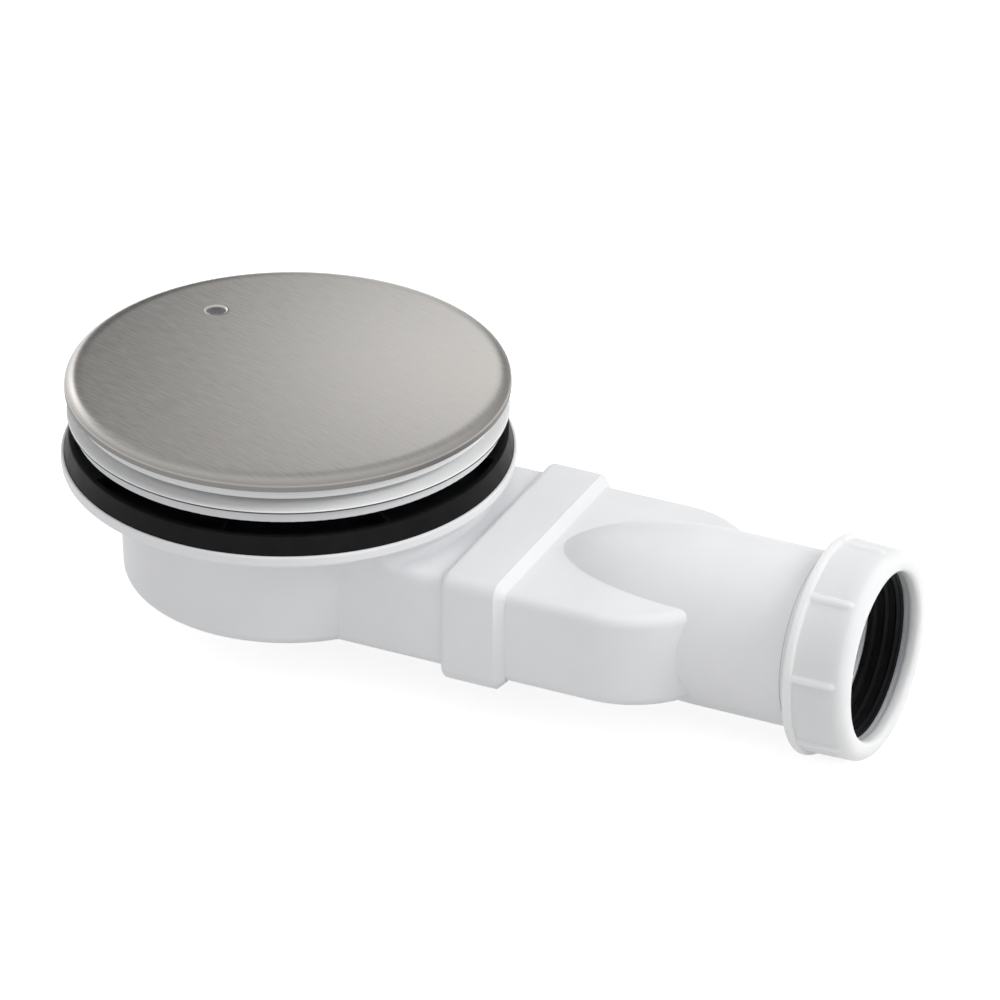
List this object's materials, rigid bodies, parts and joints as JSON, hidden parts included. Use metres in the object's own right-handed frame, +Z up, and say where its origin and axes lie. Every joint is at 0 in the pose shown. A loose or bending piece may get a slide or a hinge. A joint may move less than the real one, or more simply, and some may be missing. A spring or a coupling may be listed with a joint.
{
  "type": "shower trap",
  "caption": "Slim shower trap with a brushed steel dome cover, black tray seal, shallow water-seal pot and a flat-to-round side outlet with a ribbed compression nut.",
  "frame": {"origin": "on the axis of the waste hole, at the top face of the tray seal, where the underside of the shower tray bears", "axes": "+Z up along the waste hole's axis, +X along the outlet towards the compression nut"},
  "size_m": [0.2269, 0.1178, 0.0724],
  "materials": {
    "brushed_steel": "straight fine brushing",
    "white_plastic": "satin moulded polypropylene",
    "nut_plastic": "satin moulded polypropylene, slightly translucent",
    "pale_gasket": "matt",
    "black_rubber": "satin"
  },
  "bodies": {
    "root": {"cover_carrier": "white_plastic", "clamp_flange": "white_plastic", "trap_body": "white_plastic", "dip_tube": "white_plastic", "outlet_pipe": "white_plastic", "cover_plate": "brushed_steel", "flange_gasket": "pale_gasket", "tray_seal": "black_rubber", "dip_tube_ring": "black_rubber", "compression_seal": "black_rubber", "compression_nut": "nut_plastic", "slip_washer": "nut_plastic"}
  },
  "joints": []
}
